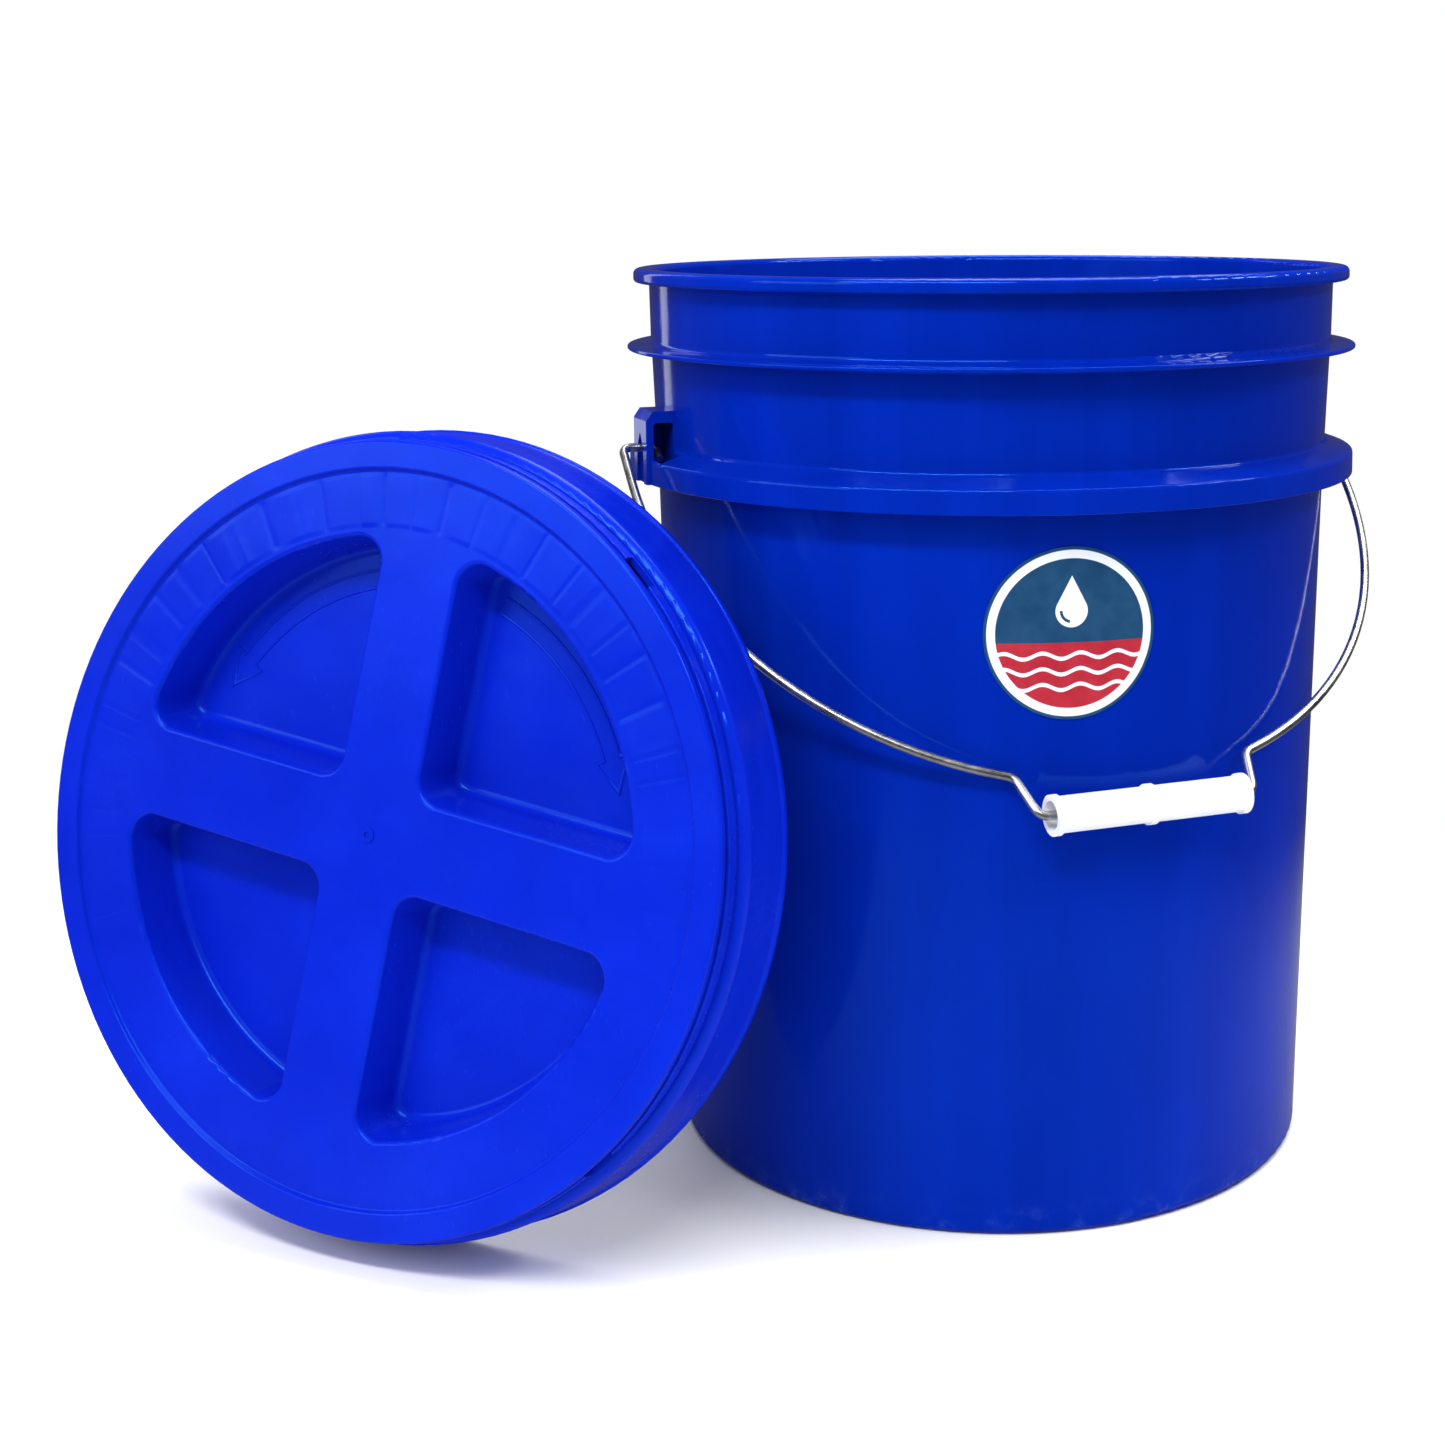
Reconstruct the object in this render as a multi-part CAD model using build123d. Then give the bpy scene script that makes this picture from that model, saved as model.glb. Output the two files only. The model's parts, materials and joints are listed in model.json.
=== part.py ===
from build123d import *
from math import asin, atan2, cos, degrees, pi, radians, sin, sqrt
import os

# Wash bucket: a moulded five-gallon pail with a wire bail, and its two-piece
# screw-on lid standing on the floor and leaning on the pail.
# Millimetres, +Z up, origin at the centre of the pail's underside.
# The bail pivots about an axis parallel to X and hangs on the -Y side.

# ---- pail ----
pail_height = 372.0
rim_radius = 152.4
rim_height = 5.8
wall = 2.3
base_radius = 135.0
base_corner = 3.5
floor_recess = 5.0
floor_thickness = 2.6
ring_bottom = 285.5
ring_face = 9.5
ring_radius = 155.0
ring_wall = 2.2
ring_web_rise = 4.0
wall_radius_at_ring = 142.8
step_radius = 143.4
flange_bottom = 337.6
flange_radius = 155.4
flange_thickness = 2.0
wall_radius_at_flange = 145.0
wall_radius_at_rim = 145.8
gusset_count = 36
gusset_thickness = 1.6

# ---- ears ----
ear_face = 156.0
ear_half_width = 10.0
ear_top = 315.5
ear_plate = 3.0
ear_chamfer = 4.0
ear_pocket_depth = 8.2
ear_back_wall = 1.4
pivot_height = 300.0
pivot_hole_radius = 2.1

# ---- bail, in its own plane: x along the pivot axis, h away from it ----
wire_radius = 1.8
bail_reach = 195.0
bail_arc_radius = 163.5
bail_arc_rise = 21.0
hook_leg_x = 149.6
hook_leg = 7.0
hook_bend = 3.2
joggle_inner_x = 45.5
joggle_outer_x = 54.0
joggle_bend = 5.0

# ---- grip ----
grip_length = 82.0
grip_radius = 6.9
grip_bore = 5.5
grip_band_radius = 7.75
grip_band_width = 2.6
grip_web_bore = wire_radius + 0.06
grip_web_thickness = 2.5
grip_web_spacing = 29.0
grip_wall_gap = 0.4

# ---- label ----
label_radius = 33.0
label_height = 239.0
label_turn = -11.6
label_thickness = 0.3

# ---- screw lid, in its own frame: +Z out of the face, z = 0 at the ring's lip ----
lid_height = 43.0
ring_lip_radius = 157.0
lid_radius = 150.5
channel_radius = 152.9
plug_wall_radius = 142.4
collar_radius = 125.8
skirt_wall = 2.2
deck_underside = 27.0
deck_top = 29.3
inner_deck_underside = 32.0
inner_deck_top = 34.2
collar_bottom = 10.0
neck_radius = 151.2
neck_top = 37.6
snap_lug_count = 24
snap_lug_depth = 2.0
gasket_thickness = 2.4
face_level = 41.2
face_thickness = 2.1
rim_band_inner = 139.8
thread_wall_radius = 123.3
thread_wall_bottom = 12.0
thread_pitch = 8.0
thread_depth = 1.7
thread_width = 2.2
lid_thread_start = 14.0
o_ring_radius = 133.0
o_ring_section = 2.1
o_ring_gap = 0.3
pocket_depth = 22.0
pocket_outer_radius = 114.0
arm_half_width = 17.5
pocket_corner = 10.0
pocket_draft = 9.0
pocket_brim = 1.8
pocket_cove = 3.5
pocket_reach = pocket_outer_radius + 2
cross_turn = -8.0

# ---- where the lid stands ----
lid_facing = 43.8
lid_lean = 9.9
lid_centre_x = -277.6
lid_centre_y = -41.8


def revolved(points):
    """Turns a closed outline of (radius, height) or (radius, height, rounding) points about Z."""
    outline = Plane.XZ * Polyline(*[(point[0], point[1]) for point in points], close=True)
    face = make_face(outline)
    for point in points:
        if len(point) == 3:
            corner = Vector(point[0], 0, point[1])
            vertex = face.vertices().sort_by_distance(corner)[0]
            face = fillet(vertex, point[2])
    return revolve(face, Axis.Z, 360)


def wall_radius(height):
    """Outer radius of the tapered wall below the handle ring."""
    return base_radius + (wall_radius_at_ring - base_radius) * height / ring_bottom


def pail_shell():
    """Tapered wall, recessed floor, handle ring, stacking flange and rolled rim."""
    ring_top = ring_bottom + ring_face
    step_height = ring_top + ring_web_rise
    flange_top = flange_bottom + flange_thickness
    rim_bottom = pail_height - rim_height
    floor_top = floor_recess + floor_thickness
    outline = [
        (0, floor_recess),
        (base_radius - wall - 5.0, floor_recess, 1.5),
        (base_radius - wall - 3.2, 0, 0.6),
        (base_radius, 0, base_corner),
        (wall_radius_at_ring, ring_bottom),
        (wall_radius_at_ring + 0.2, step_height - 2.6, 0.8),
        (ring_radius - ring_wall, ring_top - ring_wall, 0.8),
        (ring_radius - ring_wall, ring_bottom, 0.4),
        (ring_radius, ring_bottom, 0.5),
        (ring_radius, ring_top, 1.6),
        (step_radius, step_height, 1.6),
        (wall_radius_at_flange, flange_bottom - 0.4, 0.8),
        (flange_radius, flange_bottom + 0.3, 0.8),
        (flange_radius - 0.1, flange_top + 0.1, 0.8),
        (wall_radius_at_flange + 0.3, flange_top + 0.9, 2.0),
        (wall_radius_at_rim, rim_bottom, 0.6),
        (rim_radius, rim_bottom, 1.6),
        (rim_radius, pail_height, 2.4),
        (wall_radius_at_rim - wall, pail_height, 2.2),
        (step_radius - wall, step_height, 3),
        (wall_radius_at_ring - wall, ring_bottom, 3),
        (base_radius - wall + 0.2, floor_top, 6),
        (0, floor_top),
    ]
    return revolved(outline)


def ring_gussets():
    """Upright gussets that tie the handle ring's skirt to the wall, all round."""
    depth = ring_radius - ring_wall - wall_radius_at_ring + 1.2
    height = ring_face - 2.6
    middle = wall_radius_at_ring - 0.6 + depth / 2
    rib = Pos(middle, 0, ring_bottom + 1.4 + height / 2) * Box(depth, gusset_thickness, height)
    pitch = 360 / gusset_count
    return [Rot(0, 0, (index + 0.5) * pitch) * rib for index in range(gusset_count)]


def floor_details():
    """Stiffening ring, radial ribs and gate mark under the recessed floor."""
    rib_height = 1.6
    level = floor_recess - rib_height / 2 + 0.1
    hoop = Cylinder(62, rib_height) - Cylinder(60, rib_height)
    parts = [Pos(0, 0, level) * hoop, Pos(0, 0, level) * Cylinder(5, rib_height)]
    for index in range(12):
        parts.append(Rot(0, 0, index * 30) * Pos(91, 0, level) * Box(59, 1.8, rib_height))
    return parts


def ear_block():
    """One bail ear on the +X side: a chamfered block, before it is hollowed."""
    root = wall_radius_at_ring - 1.0
    depth = ear_face - root
    height = ear_top - ring_bottom
    block = Pos(root + depth / 2, 0, ring_bottom + height / 2) * Box(depth, 2 * ear_half_width, height)
    top_edge = block.edges().filter_by(Axis.Y).group_by(Axis.Z)[-1].sort_by(Axis.X)[-1]
    block = chamfer(top_edge, ear_chamfer, ear_chamfer * 0.7)
    sides = block.edges().filter_by(Axis.Z).group_by(Axis.X)[-1]
    return fillet(sides, 0.8)


def ear_hollow(open_side):
    """The space inside an ear where the wire's hook turns, open to one flank only."""
    inner = step_radius + 1.2
    outer = ear_face - ear_plate
    top = pivot_height + ear_pocket_depth + 2.5
    bottom = pivot_height - ear_pocket_depth - 1.0
    reach = 3 * ear_half_width - ear_back_wall
    middle = open_side * (reach / 2 - ear_half_width + ear_back_wall)
    space = Box(outer - inner, reach, top - bottom)
    space = fillet(space.edges().filter_by(Axis.Y), 1.4)
    return Pos((inner + outer) / 2, middle, (top + bottom) / 2) * space


def ear_recess():
    """Pointed arch sunk in an ear's outer face, round the pivot hole and open below."""
    half = 5.2
    foot = ring_bottom - 1
    arch = Polyline(
        (-half, foot),
        (half, foot),
        (half * 0.86, pivot_height),
        (0, pivot_height + 6.5),
        (-half * 0.86, pivot_height),
        close=True,
    )
    face = make_face(Plane.YZ.offset(ear_face - 1.3) * arch)
    return extrude(face, 3)


def pail_body():
    """The pail moulding with both ears, made as one solid."""
    body = pail_shell()
    for turn in (0, 180):
        body += Rot(0, 0, turn) * ear_block()
    body += ring_gussets()
    body += floor_details()
    hole = Pos(ear_face, 0, pivot_height) * Rot(0, 90, 0) * Cylinder(pivot_hole_radius, 14)
    for turn, open_side in ((0, -1), (180, 1)):
        place = Rot(0, 0, turn)
        body -= place * ear_hollow(open_side)
        body -= place * ear_recess()
        body -= place * hole
    return body


def round_label():
    """Thin printed disc that follows the wall's taper."""
    low = label_height - label_radius - 5
    high = label_height + label_radius + 5
    skin = revolved([
        (wall_radius(low), low),
        (wall_radius(low) + label_thickness, low),
        (wall_radius(high) + label_thickness, high),
        (wall_radius(high), high),
    ])
    punch = Pos(0, -wall_radius(label_height), label_height) * Rot(90, 0, 0) * Cylinder(label_radius, 60)
    return skin & (Rot(0, 0, label_turn) * punch)


def bail_rest_angle():
    """Angle from straight down at which the grip's bands rest on the wall."""
    angle = 48.0
    for _ in range(8):
        grip_height = pivot_height - bail_reach * cos(radians(angle))
        reach = wall_radius(grip_height) + grip_band_radius + grip_wall_gap
        angle = degrees(asin(reach / bail_reach))
    return angle


def bail_plane():
    """Plane of the bail: X along the pivot axis, Y from the pivots to the grip."""
    angle = radians(bail_rest_angle())
    away = Vector(0, -sin(angle), -cos(angle))
    return Plane(origin=(0, 0, pivot_height), x_dir=(1, 0, 0), z_dir=Vector(1, 0, 0).cross(away))


def bail_half_path():
    """Half of the wire's centre line, from the hook in the +X ear to the grip's middle."""
    arc_end_x = joggle_outer_x
    arc_end_h = bail_arc_rise + sqrt(bail_arc_radius**2 - arc_end_x**2)
    slope = atan2(arc_end_h - bail_arc_rise, arc_end_x)
    middle = slope / 2
    arc_middle = (bail_arc_radius * cos(middle), bail_arc_rise + bail_arc_radius * sin(middle))
    joggle_lead = 4.5
    joggle = (arc_end_x - joggle_lead * sin(slope), arc_end_h + joggle_lead * cos(slope))
    hook = FilletPolyline(
        (hook_leg_x, hook_leg),
        (hook_leg_x, 0),
        (bail_arc_radius, 0),
        (bail_arc_radius, bail_arc_rise),
        radius=hook_bend,
    )
    bow = ThreePointArc((bail_arc_radius, bail_arc_rise), arc_middle, (arc_end_x, arc_end_h))
    step = FilletPolyline(
        (arc_end_x, arc_end_h),
        joggle,
        (joggle_inner_x, bail_reach),
        (0, bail_reach),
        radius=joggle_bend,
    )
    return hook + bow + step


def bail_wire():
    """Round wire bent to a bow, hooked into both ears."""
    start = Plane(origin=(0, bail_reach, 0), x_dir=(0, 1, 0), z_dir=(1, 0, 0))
    half = sweep(start * Circle(wire_radius), path=bail_half_path())
    return bail_plane() * (half + mirror(half, Plane.YZ))


def bail_grip():
    """Tubular roller with end bands, a middle band and inner webs that run on the wire."""
    tube = Cylinder(grip_radius, grip_length) - Cylinder(grip_bore, grip_length)
    bands = [0, (grip_length - grip_band_width) / 2, -(grip_length - grip_band_width) / 2]
    for offset in bands:
        band = Cylinder(grip_band_radius, grip_band_width) - Cylinder(grip_bore, grip_band_width)
        tube += Pos(0, 0, offset) * band
    for offset in (-grip_web_spacing, 0, grip_web_spacing):
        tube += Pos(0, 0, offset) * Cylinder(grip_bore + 0.2, grip_web_thickness)
    tube -= Cylinder(grip_web_bore, grip_length)
    return bail_plane() * Pos(0, bail_reach, 0) * Rot(0, 90, 0) * tube


def lid_normal():
    """Direction that the leaning lid's face looks in."""
    turn = radians(lid_facing)
    lean = radians(lid_lean)
    return Vector(-sin(turn) * cos(lean), -cos(turn) * cos(lean), sin(lean))


def lid_plane():
    """Frame of the leaning lid, with the ring's lip resting on the floor."""
    normal = lid_normal()
    across = Vector(0, 0, 1).cross(normal).normalized()
    lip_height = ring_lip_radius * cos(radians(lid_lean))
    face_shift = normal * lid_height
    origin = Vector(lid_centre_x - face_shift.X, lid_centre_y - face_shift.Y, lip_height)
    return Plane(origin=origin, x_dir=across, z_dir=normal)


def thread_ridge(radius, start, outward):
    """One turn of right-hand thread on a wall of this radius."""
    sign = 1 if outward else -1
    root = radius - 0.4 * sign
    tip = radius + thread_depth * sign
    half = thread_width / 2
    section = Plane.XZ * Polyline(
        (root, start - half - 0.3),
        (tip, start - half * 0.5),
        (tip, start + half * 0.5),
        (root, start + half + 0.3),
        close=True,
    )
    path = Pos(0, 0, start) * Helix(pitch=thread_pitch, height=thread_pitch, radius=radius)
    return sweep(make_face(section), path=path, is_frenet=True)


def adapter_ring():
    """Clip-on ring: flared skirt, rim channel, threaded collar and slotted neck."""
    outline = [
        (ring_lip_radius - skirt_wall, 0, 0.5),
        (ring_lip_radius, 0, 0.8),
        (ring_lip_radius, 2.8, 0.7),
        (ring_lip_radius - 0.9, 3.4, 0.8),
        (channel_radius + skirt_wall, 17, 8),
        (channel_radius + skirt_wall - 0.2, 30.5, 3.6),
        (neck_radius - 0.8, 30.7, 0.4),
        (neck_radius - 0.8, 31.9, 0.2),
        (neck_radius, 32.3, 0.3),
        (neck_radius, neck_top, 0.5),
        (neck_radius - 2.2, neck_top, 0.5),
        (neck_radius - 2.3, deck_top, 1.0),
        (plug_wall_radius, deck_top, 1.0),
        (plug_wall_radius, inner_deck_top, 0.8),
        (collar_radius, inner_deck_top, 0.8),
        (collar_radius, collar_bottom, 0.4),
        (collar_radius + 2.2, collar_bottom, 0.6),
        (collar_radius + 2.2, inner_deck_underside, 1.0),
        (plug_wall_radius - 2.2, inner_deck_underside, 1.0),
        (plug_wall_radius - 2.2, 8, 0.4),
        (plug_wall_radius - 1.0, 8, 0.4),
        (plug_wall_radius, 12, 2),
        (plug_wall_radius, deck_underside),
        (channel_radius, deck_underside),
        (channel_radius, 16, 10),
        (ring_lip_radius - skirt_wall, 3, 3),
    ]
    ring = revolved(outline)
    lug_angle = 360 / snap_lug_count
    lug = Pos(channel_radius - snap_lug_depth / 2 + 0.4, 0, 17) * Box(snap_lug_depth + 0.8, 12, 3)
    inner_edge = lug.edges().filter_by(Axis.Y).group_by(Axis.X)[0].sort_by(Axis.Z)[0]
    lug = chamfer(inner_edge, 1.6)
    gusset_length = plug_wall_radius - collar_radius - 3.6
    gusset_middle = (plug_wall_radius + collar_radius) / 2
    gusset = Pos(gusset_middle, 0, inner_deck_underside - 3.8) * Box(gusset_length, 1.8, 8)
    for index in range(snap_lug_count):
        ring += Rot(0, 0, index * lug_angle) * lug
        ring += Rot(0, 0, index * lug_angle) * gusset
    slot = Pos(neck_radius - 1, 0, 35.4) * Box(6, 14, 4.8)
    for index in range(4):
        ring -= Rot(0, 0, 45 + index * 90) * slot
    ring += thread_ridge(collar_radius, lid_thread_start + thread_pitch / 2, False)
    return ring


def rim_gasket():
    """Flat foamed ring that the pail's rim presses against."""
    inner = plug_wall_radius + 0.2
    outer = channel_radius - 0.2
    low = deck_underside - gasket_thickness
    return revolved([(inner, low), (outer, low), (outer, deck_underside), (inner, deck_underside)])


def lid_o_ring():
    """Round-section seal between the spin lid and the ring's inner deck."""
    level = inner_deck_top + o_ring_gap + o_ring_section
    section = Plane.XZ * Pos(o_ring_radius, level) * Circle(o_ring_section)
    return revolve(section, Axis.Z, 360)


def pocket_outline(grow):
    """Plan of one finger pocket, in the first quadrant, offset outward by grow."""
    side = 200
    quadrant = Pos(side / 2 + arm_half_width, side / 2 + arm_half_width) * Rectangle(side, side)
    plan = Circle(pocket_outer_radius) & quadrant
    plan = fillet(plan.vertices(), pocket_corner)
    if grow:
        plan = offset(plan, grow)
    return plan


def on_level(edge, level):
    """True where a whole edge lies at this height."""
    box = edge.bounding_box()
    return abs(box.min.Z - level) < 0.01 and abs(box.max.Z - level) < 0.01


def within(edge, reach):
    """True where an edge's middle is nearer the axis than this."""
    middle = edge @ 0.5
    return sqrt(middle.X**2 + middle.Y**2) < reach


def spin_lid():
    """Screw cover: raised outer band, four finger pockets, threaded wall, seal ribs."""
    underside = face_level - face_thickness
    band_underside = lid_height - 2.4
    rib_foot = inner_deck_top + 1.2
    outline = [
        (0, face_level),
        (rim_band_inner - 1.0, face_level, 1.2),
        (rim_band_inner, lid_height, 0.9),
        (lid_radius, lid_height, 1.3),
        (lid_radius, 39.1, 0.5),
        (lid_radius - 2.2, 39.1, 0.5),
        (lid_radius - 2.2, band_underside, 0.8),
        (rim_band_inner + 0.4, band_underside, 1.0),
        (rim_band_inner - 1.4, underside, 1.0),
    ]
    for middle in (o_ring_radius + o_ring_section + 0.9, o_ring_radius - o_ring_section - 0.9):
        outline.append((middle + 0.5, underside))
        outline.append((middle + 0.5, rib_foot))
        outline.append((middle - 0.5, rib_foot))
        outline.append((middle - 0.5, underside))
    outline += [
        (thread_wall_radius, underside, 0.6),
        (thread_wall_radius, thread_wall_bottom, 0.6),
        (thread_wall_radius - 2.2, thread_wall_bottom, 0.4),
        (thread_wall_radius - 2.2, underside, 1.0),
        (0, underside),
    ]
    lid = revolved(outline)
    for index in range(4):
        quarter = Rot(0, 0, cross_turn + index * 90)
        shell = extrude(pocket_outline(2.0), -pocket_depth, taper=pocket_draft)
        lid += quarter * Pos(0, 0, underside) * shell
    for index in range(4):
        quarter = Rot(0, 0, cross_turn + index * 90)
        hollow = extrude(pocket_outline(0), -pocket_depth, taper=pocket_draft)
        lid -= quarter * Pos(0, 0, face_level) * hollow
    brims = lid.edges().filter_by(lambda edge: on_level(edge, face_level) and within(edge, pocket_reach))
    lid = fillet(brims, pocket_brim)
    pocket_level = face_level - pocket_depth
    floors = lid.edges().filter_by(lambda edge: on_level(edge, pocket_level))
    lid = fillet(floors, pocket_cove)
    lid += thread_ridge(thread_wall_radius, lid_thread_start, True)
    lid += Pos(0, 0, face_level + 0.2) * (Cylinder(3.0, 0.6) - Cylinder(1.2, 0.6))
    return lid


def main():
    os.makedirs("parts", exist_ok=True)
    on_floor = lid_plane()
    shapes = {
        "pail_body": pail_body(),
        "round_label": round_label(),
        "bail_wire": bail_wire(),
        "bail_grip": bail_grip(),
        "adapter_ring": on_floor * adapter_ring(),
        "rim_gasket": on_floor * rim_gasket(),
        "lid_o_ring": on_floor * lid_o_ring(),
        "spin_lid": on_floor * spin_lid(),
    }
    for name, shape in shapes.items():
        export_step(shape, "parts/" + name + ".step")
        box = shape.bounding_box()
        print(name, "solids", len(shape.solids()), "volume", round(shape.volume), box.min, box.max)


main()
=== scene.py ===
import json
from math import asin, cos, pi, radians, sin

import bpy
from mathutils import Matrix, Vector


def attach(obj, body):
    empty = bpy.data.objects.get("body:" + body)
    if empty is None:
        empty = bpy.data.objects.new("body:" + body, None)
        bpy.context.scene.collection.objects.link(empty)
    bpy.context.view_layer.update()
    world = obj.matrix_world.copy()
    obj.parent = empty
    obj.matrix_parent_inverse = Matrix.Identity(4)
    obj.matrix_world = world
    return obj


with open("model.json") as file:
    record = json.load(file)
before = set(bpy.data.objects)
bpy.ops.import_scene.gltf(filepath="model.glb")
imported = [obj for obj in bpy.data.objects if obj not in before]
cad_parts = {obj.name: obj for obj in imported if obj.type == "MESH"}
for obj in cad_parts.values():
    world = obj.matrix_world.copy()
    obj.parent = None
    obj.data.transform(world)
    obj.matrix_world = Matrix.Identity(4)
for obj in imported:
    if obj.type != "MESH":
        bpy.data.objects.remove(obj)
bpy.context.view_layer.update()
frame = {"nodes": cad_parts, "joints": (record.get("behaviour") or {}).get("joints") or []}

NODES = frame["nodes"]
MM = 0.001

# ---------------------------------------------------------------- the lid's own axes
# The lid leans beside the pail. Its local z points out of the face, x lies level, and
# y runs up the face. Its origin is the middle of the ring's lip. Heights are in mm.
SPIN_POINT_HEIGHT = 20.0
POCKET_FLOOR = 19.2

lid_spin = next(joint for joint in frame["joints"] if joint["name"] == "lid_spin")
lid_out = Vector(lid_spin["axis"]).normalized()
lid_level = Vector((0, 0, 1)).cross(lid_out).normalized()
lid_up = lid_out.cross(lid_level)
LID_FRAME = Matrix((lid_level, lid_up, lid_out)).transposed().to_4x4()
LID_FRAME.translation = Vector(lid_spin["pos_m"]) - lid_out * SPIN_POINT_HEIGHT * MM


# ---------------------------------------------------------------- shader node helpers
def new_finish(name):
    """An empty material, its node tree and its shader."""
    material = bpy.data.materials.new(name)
    material.use_nodes = True
    tree = material.node_tree
    tree.nodes.clear()
    output = tree.nodes.new("ShaderNodeOutputMaterial")
    shader = tree.nodes.new("ShaderNodeBsdfPrincipled")
    tree.links.new(shader.outputs["BSDF"], output.inputs["Surface"])
    return material, tree, shader


def add(tree, kind, sockets=None, **settings):
    """A node with its settings made, and each listed input set or linked."""
    node = tree.nodes.new("ShaderNode" + kind)
    for key, value in settings.items():
        setattr(node, key, value)
    for key, value in (sockets or {}).items():
        if isinstance(value, bpy.types.NodeSocket):
            tree.links.new(value, node.inputs[key])
        else:
            node.inputs[key].default_value = value
    return node


def place(tree):
    """Position on the object, in metres."""
    return add(tree, "TexCoord").outputs["Object"]


def stretch(tree, vector, scale):
    """The same position, scaled by a different amount on each axis."""
    return add(tree, "Mapping", {"Vector": vector, "Scale": scale}).outputs["Vector"]


def into_frame(tree, vector, location, rotation):
    """The position as it is read in a turned and moved frame."""
    sockets = {"Vector": vector, "Location": location, "Rotation": rotation}
    return add(tree, "Mapping", sockets, vector_type="TEXTURE").outputs["Vector"]


def noise(tree, vector, scale, detail=3.0, rough=0.5):
    """Cloudy noise from 0 to 1, centred on 0.5."""
    sockets = {"Vector": vector, "Scale": scale, "Detail": detail, "Roughness": rough}
    return add(tree, "TexNoise", sockets).outputs["Fac"]


def span(tree, value, low, high, to_low=0.0, to_high=1.0, smooth=False):
    """value carried from one range to another, and held at its ends."""
    sockets = {
        "Value": value, "From Min": low, "From Max": high, "To Min": to_low, "To Max": to_high,
    }
    steps = "SMOOTHSTEP" if smooth else "LINEAR"
    return add(tree, "MapRange", sockets, interpolation_type=steps).outputs["Result"]


def calc(tree, operation, first, second=0.0, third=0.0):
    """One step of arithmetic on numbers or sockets."""
    sockets = {0: first, 1: second, 2: third}
    return add(tree, "Math", sockets, operation=operation).outputs[0]


def times(tree, first, second):
    return calc(tree, "MULTIPLY", first, second)


def minus(tree, first, second):
    return calc(tree, "SUBTRACT", first, second)


def blended(tree, amount, first, second):
    """One colour over another by an amount."""
    sockets = {0: amount, 6: first, 7: second}
    return add(tree, "Mix", sockets, data_type="RGBA").outputs[2]


def ramp(tree, value, *stops):
    """A colour read off evenly shaded stops of (place, colour)."""
    node = add(tree, "ValToRGB", {"Fac": value})
    band = node.color_ramp
    while len(band.elements) < len(stops):
        band.elements.new(0.5)
    for element, (where, colour) in zip(band.elements, stops):
        element.position = where
        element.color = (*colour, 1.0)
    return node.outputs["Color"]


def bumped(tree, shader, *layers):
    """Stacks bump layers of (height, depth in metres) onto the shader's normal."""
    under = None
    for height, depth in layers:
        node = add(tree, "Bump", {"Height": height, "Distance": depth, "Strength": 1.0})
        if under is not None:
            tree.links.new(under, node.inputs["Normal"])
        under = node.outputs["Normal"]
    tree.links.new(under, shader.inputs["Normal"])


def scratches(tree, vector, density, turn):
    """Thin, faint, nearly straight hairlines, all running one way."""
    turned = add(tree, "Mapping", {"Vector": vector, "Rotation": turn}).outputs["Vector"]
    drawn = stretch(tree, turned, (density, density, density * 0.02))
    return span(tree, noise(tree, drawn, 1.0, 2.0, 0.6), 0.66, 0.72)


# ---------------------------------------------------------------- plastics
BLUE_SHEEN = (0.08, 0.40, 1.0, 1.0)
PLASTIC_IOR = 1.44
SCUFF_COLOUR = (0.03, 0.07, 0.42, 1.0)
SPECK_COLOUR = (0.004, 0.04, 0.60, 1.0)
SCRATCH_DEPTH = -0.000008
# The shrink marks lie in a ring round the cover's face, between radii in metres.
SHRINK_PATCHES = 56
SHRINK_INNER = (0.1165, 0.1190)
SHRINK_OUTER = (0.1360, 0.1385)
SHRINK_LEVEL = (0.0400, 0.0408)
SHRINK_DEPTH = 0.00034


def blue_gloss(shader):
    """Sets the moulded blue plastic's reflection, which is the same all over."""
    shader.inputs["IOR"].default_value = PLASTIC_IOR
    shader.inputs["Specular IOR Level"].default_value = 0.5
    shader.inputs["Specular Tint"].default_value = BLUE_SHEEN


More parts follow.
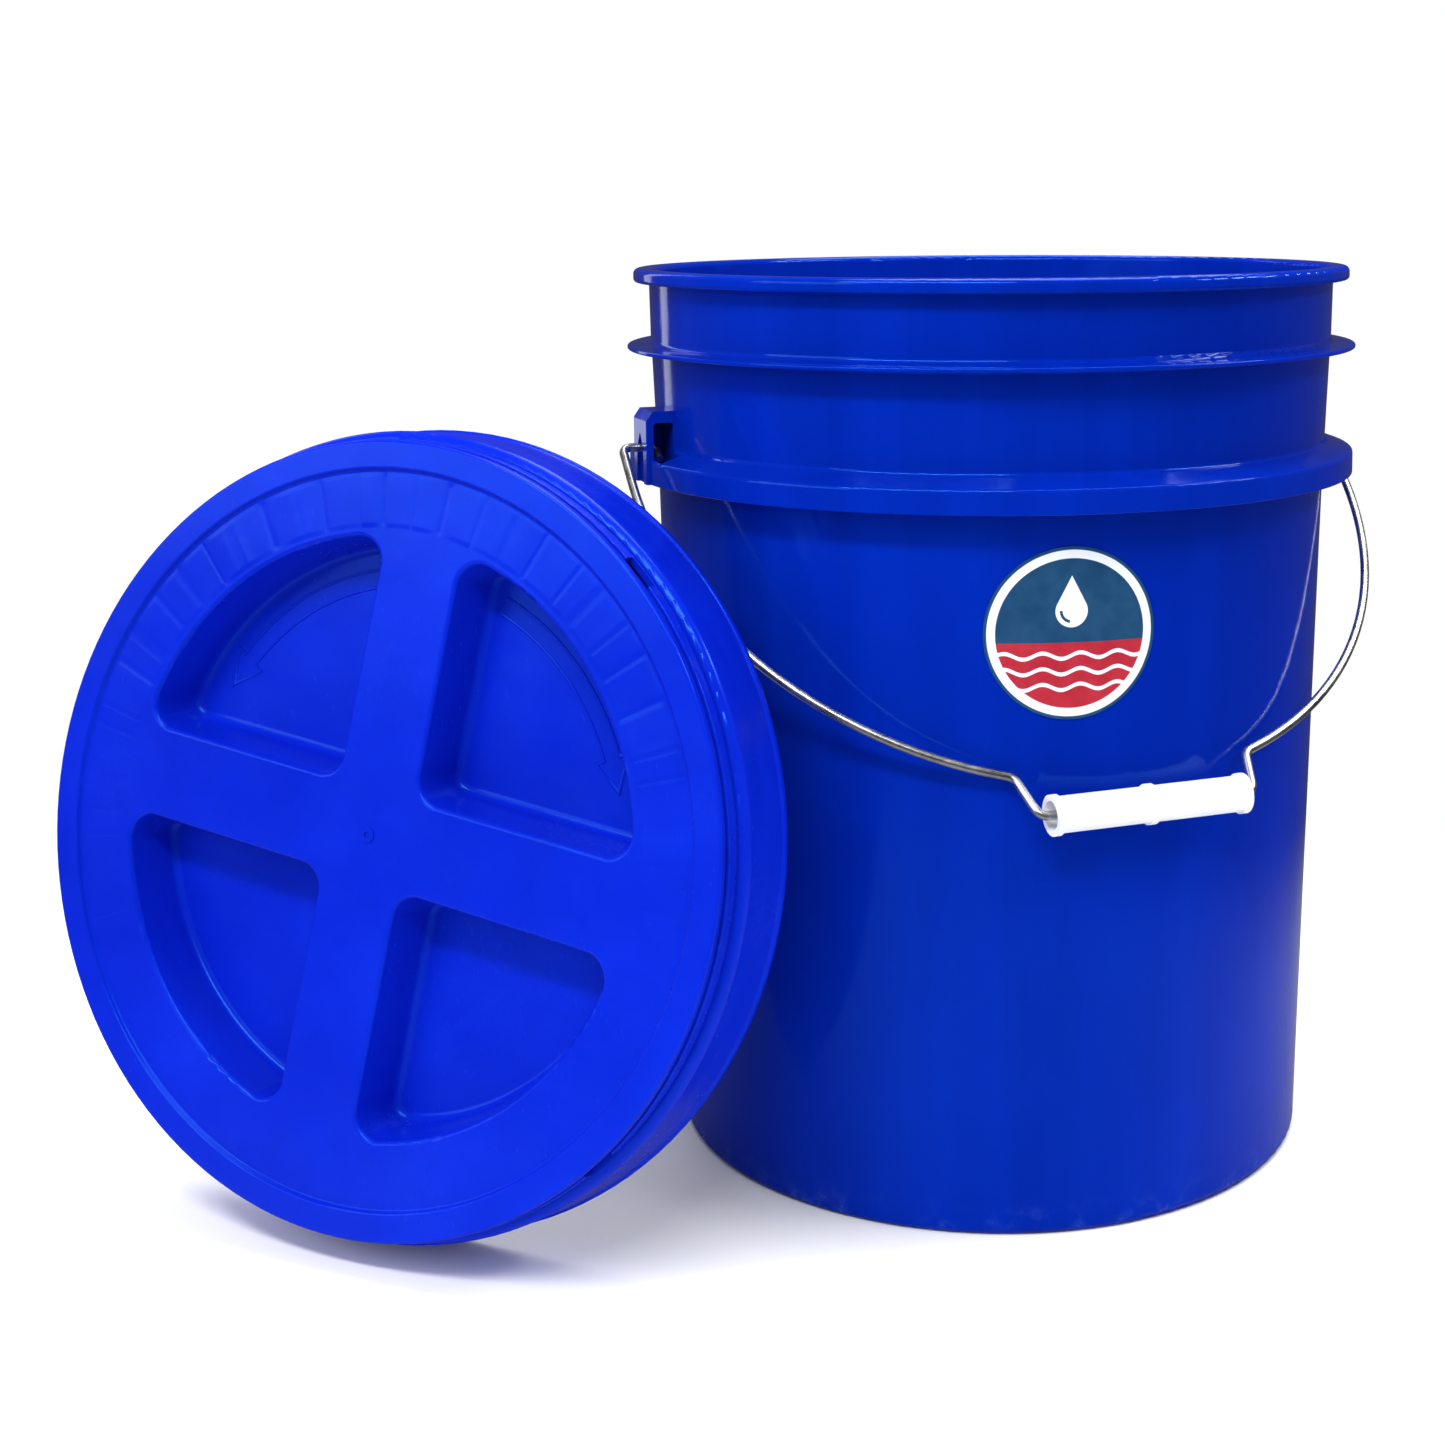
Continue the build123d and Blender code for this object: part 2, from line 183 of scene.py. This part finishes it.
def pail_plastic():
    """Glossy blue polyethylene with flow streaks, fine ripple, haze and light scuffs."""
    material, tree, shader = new_finish("pail_blue_polyethylene")
    where = place(tree)
    height = add(tree, "SeparateXYZ", {"Vector": where}).outputs["Z"]
    cloud = noise(tree, where, 7.0, 4.0, 0.55)
    streak = noise(tree, stretch(tree, where, (34.0, 34.0, 1.6)), 1.0, 4.0, 0.6)
    speck = noise(tree, where, 420.0, 2.0, 0.6)
    tone = calc(tree, "MULTIPLY_ADD", cloud, 0.55, times(tree, streak, 0.45))
    colour = ramp(
        tree, tone,
        (0.30, (0.0002, 0.0115, 0.255)),
        (0.50, (0.0003, 0.0155, 0.320)),
        (0.70, (0.0005, 0.0205, 0.390)),
    )
    near_foot = span(tree, height, 0.002, 0.016, 1.0, 0.0, smooth=True)
    scuff = times(tree, near_foot, span(tree, noise(tree, where, 90.0, 5.0, 0.7), 0.48, 0.66))
    hair = calc(
        tree, "MAXIMUM",
        scratches(tree, where, 600.0, (0.35, 0.2, 0.0)),
        scratches(tree, where, 500.0, (-0.9, 0.5, 0.4)),
    )
    hair = times(tree, hair, span(tree, noise(tree, where, 12.0, 2.0), 0.52, 0.66))
    colour = blended(tree, times(tree, scuff, 0.35), colour, SCUFF_COLOUR)
    colour = blended(tree, times(tree, speck, 0.05), colour, SPECK_COLOUR)
    tree.links.new(colour, shader.inputs["Base Color"])
    haze = span(tree, noise(tree, where, 16.0, 4.0, 0.6), 0.35, 0.7, 0.08, 0.13)
    haze = calc(tree, "MULTIPLY_ADD", scuff, 0.30, haze)
    haze = calc(tree, "MULTIPLY_ADD", hair, 0.10, haze)
    tree.links.new(haze, shader.inputs["Roughness"])
    blue_gloss(shader)
    bumped(
        tree, shader,
        (noise(tree, stretch(tree, where, (9.0, 9.0, 3.0)), 1.0, 2.0), 0.0012),
        (noise(tree, where, 60.0, 2.0), 0.00012),
        (noise(tree, where, 900.0, 2.0), 0.000012),
        (hair, SCRATCH_DEPTH),
    )
    return material


def shrink_marks(tree, on_lid):
    """Height of the flat, slightly tipped patches that ring the cover's face."""
    across, along, out = add(tree, "SeparateXYZ", {"Vector": on_lid}).outputs
    flat = add(tree, "CombineXYZ", {"X": across, "Y": along}).outputs["Vector"]
    radius = add(tree, "VectorMath", {0: flat}, operation="LENGTH").outputs["Value"]
    angle = calc(tree, "ARCTAN2", along, across)
    outward = add(tree, "VectorMath", {0: flat}, operation="NORMALIZE").outputs["Vector"]
    uneven = times(tree, noise(tree, outward, 7.0, 1.0), 1.6)
    turns = calc(tree, "MULTIPLY_ADD", angle, SHRINK_PATCHES / (2 * pi), uneven)
    patch_number = calc(tree, "FLOOR", turns)
    through = minus(tree, turns, patch_number)
    from_middle = minus(tree, through, 0.5)
    from_edge = minus(tree, 0.5, calc(tree, "ABSOLUTE", from_middle))
    crown = span(tree, from_edge, 0.0, 0.20, 0.0, 0.30, smooth=True)
    lean = add(tree, "TexWhiteNoise", {"W": patch_number}, noise_dimensions="1D").outputs["Value"]
    tilt = times(tree, minus(tree, lean, 0.5), from_middle)
    wave = calc(tree, "MULTIPLY_ADD", tilt, 2.6, crown)
    upper_half = span(tree, along, -0.05, 0.06, 0.12, 1.0, smooth=True)
    ring = times(
        tree,
        span(tree, radius, *SHRINK_INNER, smooth=True),
        span(tree, radius, *SHRINK_OUTER, 1.0, 0.0, smooth=True),
    )
    face = span(tree, out, *SHRINK_LEVEL)
    return times(tree, times(tree, times(tree, wave, upper_half), ring), face)


def lid_plastic():
    """Brighter blue polyethylene, with shrink marks in a ring round the face."""
    material, tree, shader = new_finish("lid_bright_blue_polyethylene")
    where = place(tree)
    on_lid = into_frame(tree, where, LID_FRAME.translation, LID_FRAME.to_euler())
    cloud = noise(tree, on_lid, 9.0, 4.0, 0.55)
    drag = noise(tree, stretch(tree, on_lid, (22.0, 22.0, 90.0)), 1.0, 4.0, 0.6)
    tone = calc(tree, "MULTIPLY_ADD", cloud, 0.6, times(tree, drag, 0.4))
    colour = ramp(
        tree, tone,
        (0.30, (0.0010, 0.0095, 0.390)),
        (0.50, (0.0014, 0.0130, 0.470)),
        (0.70, (0.0020, 0.0180, 0.550)),
    )
    tree.links.new(colour, shader.inputs["Base Color"])
    haze = span(tree, noise(tree, on_lid, 22.0, 4.0, 0.6), 0.35, 0.7, 0.20, 0.29)
    hair = scratches(tree, on_lid, 520.0, (1.2, 0.3, 0.5))
    hair = times(tree, hair, span(tree, noise(tree, on_lid, 14.0, 2.0), 0.5, 0.66))
    haze = calc(tree, "MULTIPLY_ADD", hair, 0.10, haze)
    tree.links.new(haze, shader.inputs["Roughness"])
    blue_gloss(shader)
    bumped(
        tree, shader,
        (shrink_marks(tree, on_lid), SHRINK_DEPTH),
        (noise(tree, on_lid, 14.0, 2.0), 0.0007),
        (noise(tree, on_lid, 75.0, 2.0), 0.00009),
        (noise(tree, on_lid, 950.0, 2.0), 0.000014),
        (hair, SCRATCH_DEPTH),
    )
    return material


def grip_plastic():
    """White moulded plastic, faintly see-through, with a light mottle along it."""
    material, tree, shader = new_finish("grip_white_plastic")
    where = place(tree)
    cloud = noise(tree, where, 90.0, 4.0, 0.6)
    along = noise(tree, stretch(tree, where, (40.0, 260.0, 260.0)), 1.0, 3.0)
    colour = ramp(
        tree, calc(tree, "MULTIPLY_ADD", cloud, 0.6, times(tree, along, 0.4)),
        (0.30, (0.78, 0.80, 0.84)),
        (0.50, (0.86, 0.87, 0.90)),
        (0.72, (0.93, 0.93, 0.94)),
    )
    tree.links.new(colour, shader.inputs["Base Color"])
    tree.links.new(span(tree, cloud, 0.3, 0.7, 0.30, 0.44), shader.inputs["Roughness"])
    shader.inputs["Subsurface Weight"].default_value = 0.12
    shader.inputs["Subsurface Radius"].default_value = (0.0012, 0.0012, 0.0014)
    shader.inputs["Subsurface Scale"].default_value = 1.0
    bumped(
        tree, shader,
        (noise(tree, where, 220.0, 2.0), 0.00006),
        (noise(tree, where, 1400.0, 2.0), 0.00001),
    )
    return material


# ---------------------------------------------------------------- metal and rubber
def bail_steel():
    """Drawn, zinc plated wire: bright, with dull patches and fine drawing lines."""
    material, tree, shader = new_finish("bail_zinc_wire")
    where = place(tree)
    cloud = noise(tree, where, 60.0, 5.0, 0.6)
    line = noise(tree, stretch(tree, where, (80.0, 900.0, 900.0)), 1.0, 3.0, 0.6)
    colour = ramp(
        tree, cloud,
        (0.32, (0.42, 0.42, 0.41)),
        (0.50, (0.60, 0.60, 0.59)),
        (0.68, (0.74, 0.74, 0.73)),
    )
    tree.links.new(colour, shader.inputs["Base Color"])
    shader.inputs["Metallic"].default_value = 1.0
    dullness = span(tree, calc(tree, "ADD", cloud, line), 0.7, 1.3, 0.22, 0.42)
    tree.links.new(dullness, shader.inputs["Roughness"])
    bumped(tree, shader, (line, 0.00002), (noise(tree, where, 700.0, 3.0), 0.00002))
    return material


def rubber(name, dark, light, grain):
    """Dull black rubber or foam, with a mottled grain."""
    material, tree, shader = new_finish(name)
    where = place(tree)
    mottle = noise(tree, where, grain, 5.0, 0.65)
    tree.links.new(ramp(tree, mottle, (0.32, dark), (0.68, light)), shader.inputs["Base Color"])
    tree.links.new(span(tree, mottle, 0.3, 0.7, 0.55, 0.78), shader.inputs["Roughness"])
    bumped(tree, shader, (mottle, 0.00008), (noise(tree, where, grain * 4, 2.0), 0.00002))
    return material


# ---------------------------------------------------------------- the printed label
# Everything here is in metres from the label's centre, and heights are up the wall.
LABEL_CENTRE_HEIGHT = 0.239
LABEL_TURN = radians(-11.6)
PRINT_BLUR = 0.00010
WHITE_RING_RADIUS = 0.0286
NAVY_EDGE_RADIUS = 0.0318
WATER_LINE = -0.0035
WAVE_HEIGHTS = (-0.0085, -0.0145, -0.0205)
WAVE_LENGTH = 0.0145
WAVE_SWELL = 0.0011
WAVE_HALF_WIDTH = 0.00075
BOWL_CENTRE = 0.0085
BOWL_RADIUS = 0.0062
DROP_TIP = 0.0220
GLINT_RADIUS = 0.0040
GLINT_HALF_WIDTH = 0.00055
GLINT_RIGHT_END = -0.0006
GLINT_TOP_END = BOWL_CENTRE + 0.0002


def label_print():
    """A round print: navy edge, white ring, and a drop over waves, with no words."""
    material, tree, shader = new_finish("label_printed_vinyl")
    where = place(tree)
    on_label = into_frame(tree, where, (0, 0, LABEL_CENTRE_HEIGHT), (0, 0, LABEL_TURN))
    split = add(tree, "SeparateXYZ", {"Vector": on_label})
    across, height = split.outputs["X"], split.outputs["Z"]

    def above(value, edge):
        return span(tree, value, edge - PRINT_BLUR, edge + PRINT_BLUR)

    def below(value, edge):
        return span(tree, value, edge - PRINT_BLUR, edge + PRINT_BLUR, 1.0, 0.0)

    def apart(value, from_value):
        return calc(tree, "ABSOLUTE", minus(tree, value, from_value))

    def distance(centre_height):
        rise = minus(tree, height, centre_height)
        squares = calc(tree, "ADD", times(tree, across, across), times(tree, rise, rise))
        return calc(tree, "SQRT", squares)

    fade = noise(tree, where, 130.0, 4.0, 0.6)
    navy = ramp(tree, fade, (0.3, (0.004, 0.045, 0.125)), (0.7, (0.007, 0.066, 0.165)))
    white = ramp(tree, fade, (0.3, (0.72, 0.77, 0.90)), (0.7, (0.80, 0.84, 0.94)))
    red = ramp(tree, fade, (0.3, (0.38, 0.012, 0.028)), (0.7, (0.46, 0.020, 0.040)))

    field = blended(tree, below(height, WATER_LINE), navy, red)
    phase = times(tree, across, 2 * pi / WAVE_LENGTH)
    swell = minus(tree, height, times(tree, calc(tree, "SINE", phase), WAVE_SWELL))
    for wave_height in WAVE_HEIGHTS:
        wave = below(apart(swell, wave_height), WAVE_HALF_WIDTH)
        field = blended(tree, wave, field, white)

    # The drop is a round bowl with a cone on it: two straight edges meet at its tip.
    from_bowl = distance(BOWL_CENTRE)
    lean = asin(BOWL_RADIUS / (DROP_TIP - BOWL_CENTRE))
    side = times(tree, calc(tree, "ABSOLUTE", across), cos(lean))
    fall = times(tree, minus(tree, DROP_TIP, height), sin(lean))
    cone_foot = BOWL_CENTRE + BOWL_RADIUS * sin(lean)
    cone = times(tree, below(minus(tree, side, fall), 0.0), above(height, cone_foot))
    drop = calc(tree, "MAXIMUM", below(from_bowl, BOWL_RADIUS), cone)
    corner = times(tree, below(across, GLINT_RIGHT_END), below(height, GLINT_TOP_END))
    glint = times(tree, below(apart(from_bowl, GLINT_RADIUS), GLINT_HALF_WIDTH), corner)
    drop = times(tree, drop, minus(tree, 1.0, glint))
    field = blended(tree, drop, field, white)

    radius = distance(0.0)
    colour = blended(tree, above(radius, WHITE_RING_RADIUS), field, white)
    colour = blended(tree, above(radius, NAVY_EDGE_RADIUS), colour, navy)
    tree.links.new(colour, shader.inputs["Base Color"])
    tree.links.new(span(tree, fade, 0.3, 0.7, 0.32, 0.46), shader.inputs["Roughness"])
    shader.inputs["Specular IOR Level"].default_value = 0.3
    bumped(tree, shader, (noise(tree, where, 300.0, 3.0), 0.00002))
    return material


FOAM_DARK, FOAM_LIGHT = (0.030, 0.030, 0.032), (0.075, 0.075, 0.078)
O_RING_DARK, O_RING_LIGHT = (0.012, 0.012, 0.013), (0.035, 0.035, 0.036)
FINISHES = {
    "pail_body": pail_plastic(),
    "round_label": label_print(),
    "bail_wire": bail_steel(),
    "bail_grip": grip_plastic(),
    "rim_gasket": rubber("gasket_grey_foam", FOAM_DARK, FOAM_LIGHT, 260.0),
    "lid_o_ring": rubber("o_ring_black_rubber", O_RING_DARK, O_RING_LIGHT, 180.0),
}
FINISHES["adapter_ring"] = FINISHES["spin_lid"] = lid_plastic()

for name, finish in FINISHES.items():
    mesh = NODES[name].data
    mesh.materials.clear()
    mesh.materials.append(finish)

# ---------------------------------------------------------------- turn arrows on the lid
# Millimetres and degrees in the lid's own axes. RIDGE is the line's cross-section, as
# (sideways, rise) points.
RIDGE = (
    (-0.62, -0.05), (-0.52, 0.24), (-0.28, 0.42), (0.0, 0.48),
    (0.28, 0.42), (0.52, 0.24), (0.62, -0.05),
)
ARROW_RADIUS = 98.0
ARROW_HALF_BAND = 3.4
ARROW_HALF_HEAD = 7.2
ARROW_HEAD_TURN = 7.5
ARROW_STEPS = 26
SHARPEST_MITRE = 2.2
FLATTEST_CORNER = 0.35


def arrow_outline(start, end):
    """Points round a curved arrow, which runs from start to end degrees."""
    way = 1 if end > start else -1
    neck = end - way * ARROW_HEAD_TURN
    swing = [start + (neck - start) * k / ARROW_STEPS for k in range(ARROW_STEPS + 1)]
    outer = [(ARROW_RADIUS + ARROW_HALF_BAND, angle) for angle in swing]
    inner = [(ARROW_RADIUS - ARROW_HALF_BAND, angle) for angle in reversed(swing)]
    head = [
        (ARROW_RADIUS + ARROW_HALF_HEAD, neck),
        (ARROW_RADIUS, end),
        (ARROW_RADIUS - ARROW_HALF_HEAD, neck),
    ]
    points = [*outer, *head, *inner]
    return [Vector((r * cos(radians(a)), r * sin(radians(a)))) for r, a in points]


def ridge_round(name, outline, level):
    """A low rounded ridge that follows a closed outline on the lid, at a level."""
    count = len(outline)
    wide = len(RIDGE)
    verts, faces = [], []
    for index, point in enumerate(outline):
        back = (point - outline[index - 1]).normalized()
        ahead = (outline[(index + 1) % count] - point).normalized()
        bisector = (back + ahead).normalized()
        side = Vector((bisector.y, -bisector.x))
        square = side.dot(Vector((ahead.y, -ahead.x)))
        spread = min(SHARPEST_MITRE, 1 / max(FLATTEST_CORNER, square))
        for sideways, rise in RIDGE:
            spot = point + side * sideways * spread
            verts.append(LID_FRAME @ (Vector((spot.x, spot.y, level + rise)) * MM))
    for index in range(count):
        here = index * wide
        there = (index + 1) % count * wide
        for k in range(wide):
            turn = (k + 1) % wide
            faces.append((here + k, here + turn, there + turn, there + k))
    mesh = bpy.data.meshes.new(name)
    mesh.from_pydata(verts, [], faces)
    mesh.polygons.foreach_set("use_smooth", [True] * len(faces))
    mesh.materials.append(FINISHES["spin_lid"])
    piece = bpy.data.objects.new(name, mesh)
    bpy.context.scene.collection.objects.link(piece)
    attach(piece, "cover")


ridge_round("turn_arrow_left", arrow_outline(98, 150), POCKET_FLOOR)
ridge_round("turn_arrow_right", arrow_outline(66, 14), POCKET_FLOOR)

# ---------------------------------------------------------------- smooth shading
for node in NODES.values():
    polygons = node.data.polygons
    polygons.foreach_set("use_smooth", [True] * len(polygons))

# ---------------------------------------------------------------- the studio
FLOOR_RADIUS = 3.0
FLOOR_SIDES = 96
FLOOR_MIDDLE = (-0.11, -0.03, 0.0)
FLOOR_FADE = (0.36, 0.64)
# Dark grey painted on the floor only where it is seen in reflections: painted shade, so the
# plastic mirrors a darker floor.
FLOOR_PAINTED_SHADE_IN_REFLECTIONS = (0.20, 0.20, 0.205, 1.0)
ROOM_SEEN, ROOM_LIGHT, ROOM_MIRRORED = 1.0, 0.66, 0.06
CAMERA_TURN = radians(24.43)


def floor():
    """A pale, faintly mottled round floor sheet that fades out into the white room. Where it is
    seen in reflections its colour is painted dark grey: painted shade on the floor's reflection.
    """
    material, tree, shader = new_finish("floor_pale")
    where = place(tree)
    cloud = noise(tree, where, 2.0, 3.0)
    colour = ramp(tree, cloud, (0.3, (0.86, 0.86, 0.865)), (0.7, (0.90, 0.90, 0.905)))
    # Mirror rays see the floor painted dark grey instead of pale: a painted shade in its
    # reflection on the plastic.
    mirrored = add(tree, "LightPath").outputs["Is Glossy Ray"]
    tree.links.new(blended(tree, mirrored, colour, FLOOR_PAINTED_SHADE_IN_REFLECTIONS), shader.inputs["Base Color"])
    sockets = {0: where, 1: FLOOR_MIDDLE}
    away = add(tree, "VectorMath", sockets, operation="DISTANCE").outputs["Value"]
    tree.links.new(span(tree, away, *FLOOR_FADE, 1.0, 0.0, smooth=True), shader.inputs["Alpha"])
    shader.inputs["Roughness"].default_value = 0.9
    shader.inputs["Specular IOR Level"].default_value = 0.1
    mesh = bpy.data.meshes.new("studio_floor")
    turns = [2 * pi * k / FLOOR_SIDES for k in range(FLOOR_SIDES)]
    edge = [(FLOOR_RADIUS * cos(turn), FLOOR_RADIUS * sin(turn), 0) for turn in turns]
    mesh.from_pydata(edge, [], [tuple(range(FLOOR_SIDES))])
    mesh.materials.append(material)
    sheet = bpy.data.objects.new("studio_floor", mesh)
    bpy.context.scene.collection.objects.link(sheet)


def soft_light(name, azimuth, height, away, size, power, aim=(-0.1, 0, 0.17)):
    """A soft box. azimuth turns it right of the camera's side of the object, in degrees."""
    turn = radians(azimuth) - CAMERA_TURN
    data = bpy.data.lights.new(name, "AREA")
    data.shape = "RECTANGLE"
    data.size, data.size_y = size
    data.energy = power
    lamp = bpy.data.objects.new(name, data)
    lamp.location = (away * sin(turn), -away * cos(turn), height)
    lamp.rotation_euler = (Vector(aim) - lamp.location).to_track_quat("-Z", "Y").to_euler()
    bpy.context.scene.collection.objects.link(lamp)


def white_room():
    """White behind the object, and softer and dimmer where it lights or is mirrored."""
    world = bpy.data.worlds.new("soft_white_room")
    world.use_nodes = True
    bpy.context.scene.world = world
    tree = world.node_tree
    tree.nodes.clear()
    ray = add(tree, "LightPath").outputs
    strength = ROOM_LIGHT
    for kind, level in (("Is Camera Ray", ROOM_SEEN), ("Is Glossy Ray", ROOM_MIRRORED)):
        strength = calc(tree, "MULTIPLY_ADD", ray[kind], level - ROOM_LIGHT, strength)
    sockets = {"Color": (1.0, 1.0, 1.0, 1.0), "Strength": strength}
    room = add(tree, "Background", sockets)
    add(tree, "OutputWorld", {"Surface": room.outputs["Background"]})


floor()
soft_light("key_left", azimuth=-57, height=0.86, away=1.8, size=(1.2, 0.8), power=9)
soft_light("front_high", azimuth=-20, height=1.3, away=1.05, size=(1.2, 0.16), power=19,
           aim=(0, 0, 0.36))
soft_light("top_soft", azimuth=150, height=2.1, away=0.5, size=(1.7, 1.4), power=42)
soft_light("glint_right", azimuth=84, height=1.2, away=1.2, size=(0.8, 0.10), power=8,
           aim=(0, 0, 0.33))
soft_light("edge_left", azimuth=-135, height=0.8, away=1.9, size=(0.3, 1.6), power=2)
white_room()

scene = bpy.context.scene
scene.view_settings.view_transform = "Standard"
scene.view_settings.look = "None"

# ---------------------------------------------------------------- the camera
# Lengths in metres, angles in radians, and the focal length and shift in image pixels.
IMAGE = 1445
FOCAL_PIXELS = 2134.9
SENSOR_MM = 36.0
AWAY = 0.9267
CAMERA_HEIGHT = 0.402
YAW, PITCH, ROLL = -0.0681, 0.1104, -0.0063
SHIFT_RIGHT, SHIFT_DOWN = 120, -290


def camera():
    """The photograph's viewpoint: yaw, pitch and roll are read facing the object from its side."""
    right = Vector((cos(YAW), -sin(YAW), 0))
    forward = Vector((sin(YAW) * cos(PITCH), cos(YAW) * cos(PITCH), -sin(PITCH)))
    up = Vector((sin(YAW) * sin(PITCH), cos(YAW) * sin(PITCH), cos(PITCH)))
    rolled_right = right * cos(ROLL) + up * sin(ROLL)
    rolled_up = up * cos(ROLL) - right * sin(ROLL)
    axes = Matrix((rolled_right, rolled_up, -forward)).transposed()
    turned = (Matrix.Rotation(-CAMERA_TURN, 3, "Z") @ axes).to_4x4()
    turned.translation = (-AWAY * sin(CAMERA_TURN), -AWAY * cos(CAMERA_TURN), CAMERA_HEIGHT)
    data = bpy.data.cameras.new("photo_view")
    data.sensor_width = SENSOR_MM
    data.lens = FOCAL_PIXELS / IMAGE * SENSOR_MM
    data.shift_x = -SHIFT_RIGHT / IMAGE
    data.shift_y = SHIFT_DOWN / IMAGE
    data.clip_start = 0.01
    eye = bpy.data.objects.new("photo_view", data)
    eye.matrix_world = turned
    scene.collection.objects.link(eye)
    scene.camera = eye


camera()

bpy.context.view_layer.update()
